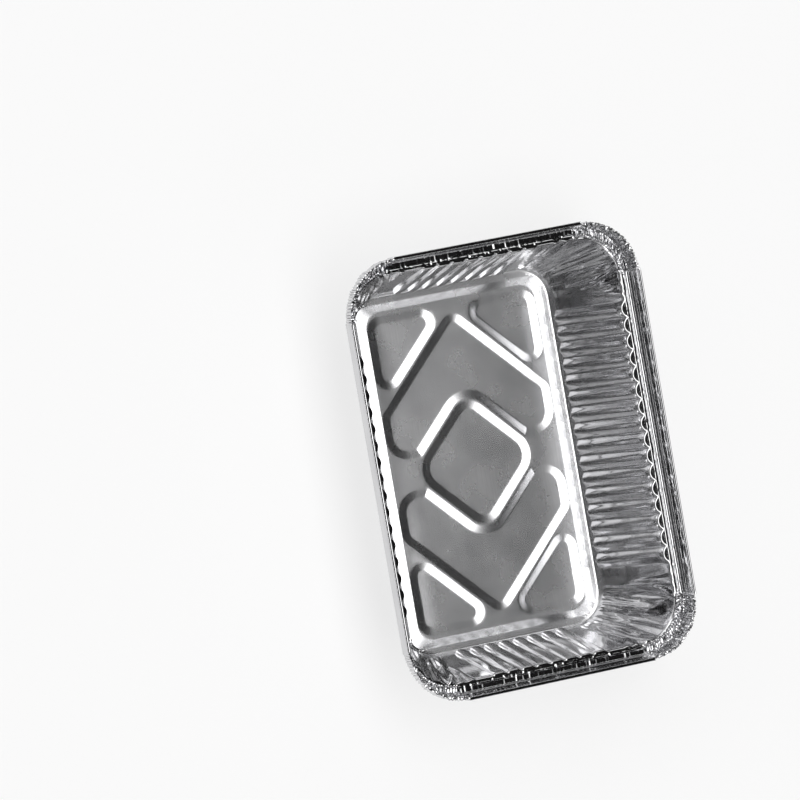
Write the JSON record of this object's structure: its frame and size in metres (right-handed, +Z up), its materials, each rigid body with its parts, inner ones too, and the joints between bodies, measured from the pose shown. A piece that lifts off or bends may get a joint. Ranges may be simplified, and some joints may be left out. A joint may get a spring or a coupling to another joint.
{
  "type": "foil food container",
  "caption": "Oblong pressed foil food tray with an embossed diamond base, fluted walls, a flat lid ledge and an upright flange with a folded hem.",
  "frame": {"origin": "centre of the footprint, on the plane of the ring that the tray stands on", "axes": "+Z up out of the open top, +Y along the length, +X across the width"},
  "size_m": [0.132, 0.182, 0.048],
  "materials": {
    "foil": "bright rolled foil, satin on the embossed base"
  },
  "bodies": {
    "root": {"container": "foil"}
  },
  "joints": []
}
